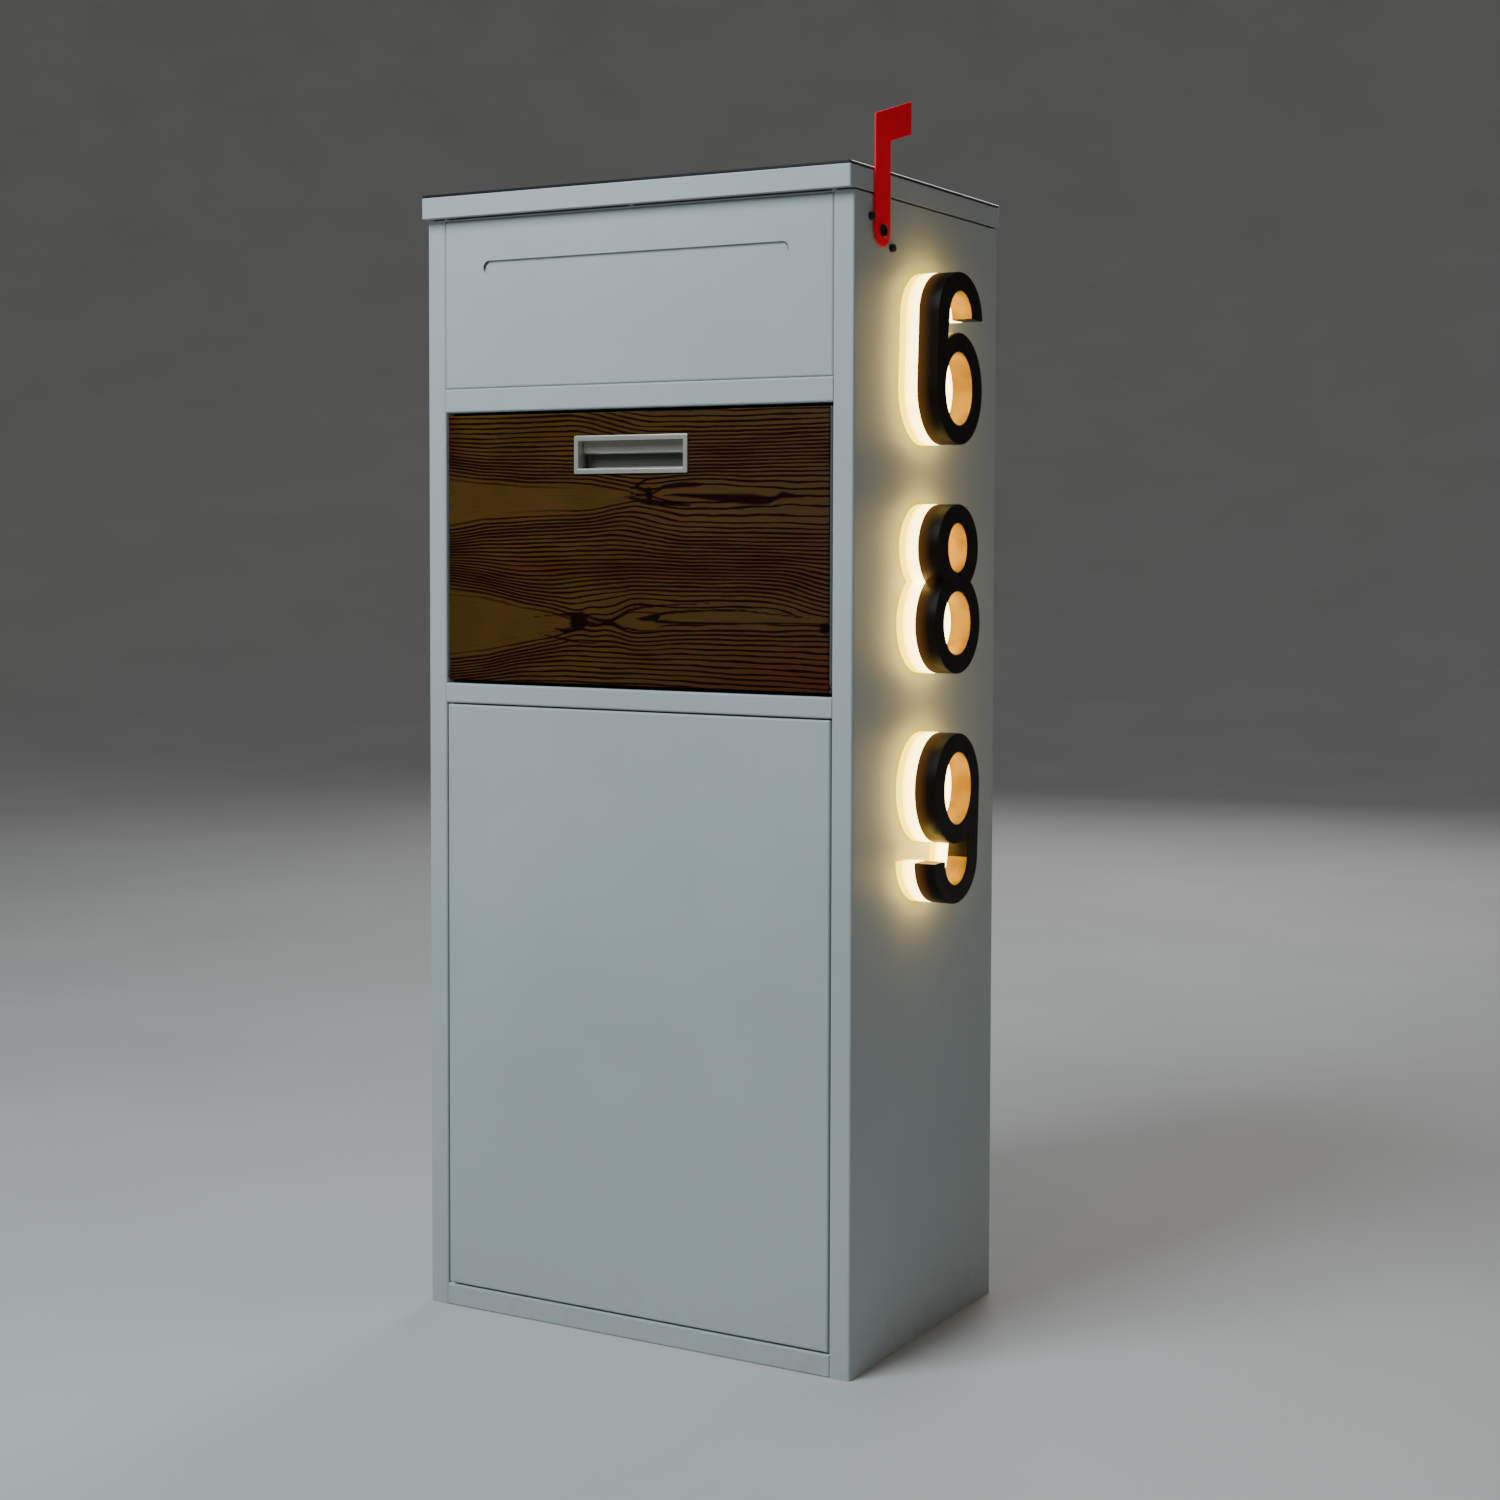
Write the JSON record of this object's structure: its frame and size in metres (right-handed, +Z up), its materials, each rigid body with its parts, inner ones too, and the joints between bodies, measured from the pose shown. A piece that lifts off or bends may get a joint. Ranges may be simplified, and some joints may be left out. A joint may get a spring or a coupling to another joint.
{
  "type": "parcel drop box",
  "caption": "Free-standing steel parcel box with a letter slot, tilting wood-grain hopper, lower door, solar lid, signal flag and back-lit side numerals.",
  "frame": {"origin": "centre of the cabinet's base on the ground, in the middle of the four anchor holes", "axes": "+X to the cabinet's right as seen from the front, +Y to the rear, +Z up"},
  "size_m": [0.4889, 0.2971, 1.1005],
  "materials": {
    "powder_grey": "fine satin powder coat",
    "galvanised": "galvanised sheet",
    "zinc_steel": "bright zinc plate",
    "satin_silver": "satin nickel",
    "wood_grain": "dark wood-grain laminate",
    "solar_black": "black solar laminate",
    "rubber_black": "moulded rubber",
    "plastic_black": "textured black plastic",
    "plastic_white": "natural nylon",
    "screw_black": "black oxide",
    "flag_red": "satin red enamel",
    "numeral_black": "satin black enamel",
    "acrylic_opal": "lit opal acrylic",
    "acrylic_clear": "clear acrylic lit from its edge",
    "led_white": "LED module"
  },
  "bodies": {
    "cabinet": {"back_panel": "powder_grey", "back_rivets": "zinc_steel", "base_pan": "powder_grey", "battery_box": "plastic_black", "battery_cover": "plastic_black", "flag_nut": "zinc_steel", "flag_screw": "screw_black", "flag_spacer": "plastic_white", "flag_stops": "rubber_black", "flap_brackets": "galvanised", "flap_rod": "zinc_steel", "hinge_base_leaf": "zinc_steel", "hinge_pin": "zinc_steel", "hopper_pins": "zinc_steel", "hopper_stops": "rubber_black", "latch_housing": "plastic_black", "left_side_panel": "powder_grey", "letter_chute": "galvanised", "lid_buffers": "plastic_white", "lower_door_pins": "zinc_steel", "lower_door_washer": "plastic_white", "middle_rail": "powder_grey", "numeral_eight_backer": "acrylic_clear", "numeral_eight_diffuser": "acrylic_opal", "numeral_eight_shell": "numeral_black", "numeral_leds": "led_white", "numeral_nine_backer": "acrylic_clear", "numeral_nine_diffuser": "acrylic_opal", "numeral_nine_shell": "numeral_black", "numeral_nuts": "zinc_steel", "numeral_six_backer": "acrylic_clear", "numeral_six_diffuser": "acrylic_opal", "numeral_six_shell": "numeral_black", "numeral_studs": "zinc_steel", "right_side_panel": "powder_grey", "top_frame": "powder_grey", "upper_front_panel": "powder_grey", "upper_rail": "powder_grey"},
    "lid": {"lid_cap": "powder_grey", "solar_panel": "solar_black", "hinge_lid_leaf": "zinc_steel"},
    "letter_flap": {"letter_flap": "powder_grey"},
    "hopper": {"hopper_wood_panel": "wood_grain", "hopper_door_skin": "powder_grey", "hopper_cheek_left": "galvanised", "hopper_cheek_right": "galvanised", "hopper_floor": "galvanised", "hopper_bumpers": "rubber_black", "hopper_bushes": "plastic_black", "pull_cup": "satin_silver", "pull_hood": "satin_silver"},
    "lower_door": {"lower_door_panel": "powder_grey", "lower_door_stiffener": "galvanised", "latch_strike": "zinc_steel"},
    "latch_plunger": {"latch_plunger": "plastic_white"},
    "flag": {"flag": "flag_red"}
  },
  "joints": [
    {"name": "lid_hinge", "type": "hinge", "parent": "cabinet", "child": "lid", "pos_m": [0, 0.1457, 1.0116], "axis": [-1, 0, 0], "range_deg": [0, 95]},
    {"name": "flap_swing", "type": "hinge", "parent": "cabinet", "child": "letter_flap", "pos_m": [0, -0.1347, 0.97905], "axis": [1, 0, 0], "range_deg": [0, 70]},
    {"name": "hopper_tilt", "type": "hinge", "parent": "cabinet", "child": "hopper", "pos_m": [0, -0.1344, 0.5927], "axis": [1, 0, 0], "range_deg": [0, 45]},
    {"name": "lower_door_hinge", "type": "hinge", "parent": "cabinet", "child": "lower_door", "pos_m": [-0.2003, -0.1368, 0.2936], "axis": [0, 0, -1], "range_deg": [0, 105]},
    {"name": "latch_push", "type": "slide", "parent": "cabinet", "child": "latch_plunger", "axis": [0, 1, 0], "range_m": [0, 0.004], "stiffness_N_per_m": 900, "springref_m": -0.004},
    {"name": "flag_turn", "type": "hinge", "parent": "cabinet", "child": "flag", "pos_m": [0.2285, -0.0944, 0.9825], "axis": [-1, 0, 0], "range_deg": [0, 74]}
  ]
}
